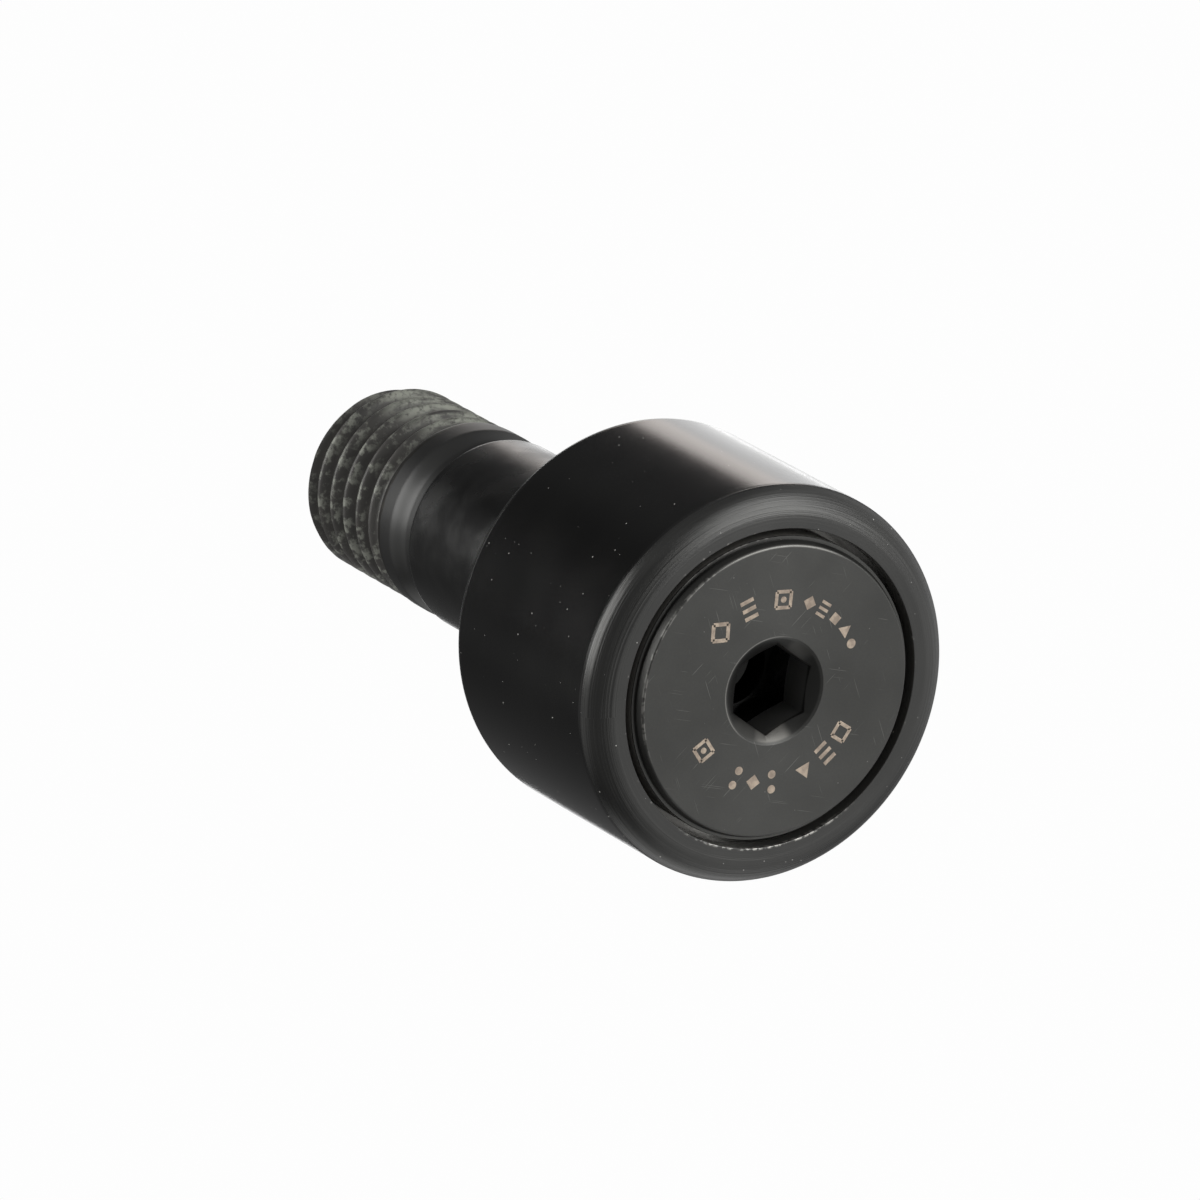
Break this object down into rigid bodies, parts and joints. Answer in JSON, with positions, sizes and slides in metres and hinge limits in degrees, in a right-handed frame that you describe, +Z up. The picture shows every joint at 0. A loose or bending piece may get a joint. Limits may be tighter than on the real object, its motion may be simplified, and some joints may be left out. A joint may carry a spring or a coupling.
{
  "type": "cam follower",
  "caption": "Stud-type needle-roller cam follower: a thick roller turning on needles round a threaded stud with a hexagon-socket head.",
  "frame": {"origin": "on the stud's axis, in the clamping face of the endplate, where the machine wall's face meets the follower", "axes": "+Y along the stud towards its thread, -Y towards the hexagon-socket head and the roller, +Z up"},
  "size_m": [0.0158, 0.0313, 0.0158],
  "materials": {
    "black_oxide_stud": "hardened steel, turned and ground, black oxide, satin",
    "black_oxide_ring": "hardened steel, ground tread, black oxide, semi-gloss",
    "black_oxide_endplate": "hardened steel, black oxide, satin",
    "needle_steel": "through-hardened bearing steel, lapped bright"
  },
  "bodies": {
    "stud": {"stud": "black_oxide_stud", "endplate": "black_oxide_endplate"},
    "roller": {"outer_ring": "black_oxide_ring"},
    "needles": {"needle_01": "needle_steel", "needle_02": "needle_steel", "needle_03": "needle_steel", "needle_04": "needle_steel", "needle_05": "needle_steel", "needle_06": "needle_steel", "needle_07": "needle_steel", "needle_08": "needle_steel", "needle_09": "needle_steel", "needle_10": "needle_steel", "needle_11": "needle_steel", "needle_12": "needle_steel", "needle_13": "needle_steel", "needle_14": "needle_steel", "needle_15": "needle_steel", "needle_16": "needle_steel", "needle_17": "needle_steel", "needle_18": "needle_steel", "needle_19": "needle_steel"}
  },
  "joints": [
    {"name": "roller_spin", "type": "hinge", "parent": "stud", "child": "roller", "pos_m": [0, -0.00635, 0], "axis": [0, 1, 0], "continuous": true},
    {"name": "needle_orbit", "type": "hinge", "parent": "stud", "child": "needles", "pos_m": [0, -0.0063, 0], "axis": [0, 1, 0], "continuous": true}
  ],
  "couplings": [
    {"joint": "needle_orbit", "follows": "roller_spin", "ratio": 0.5806}
  ]
}
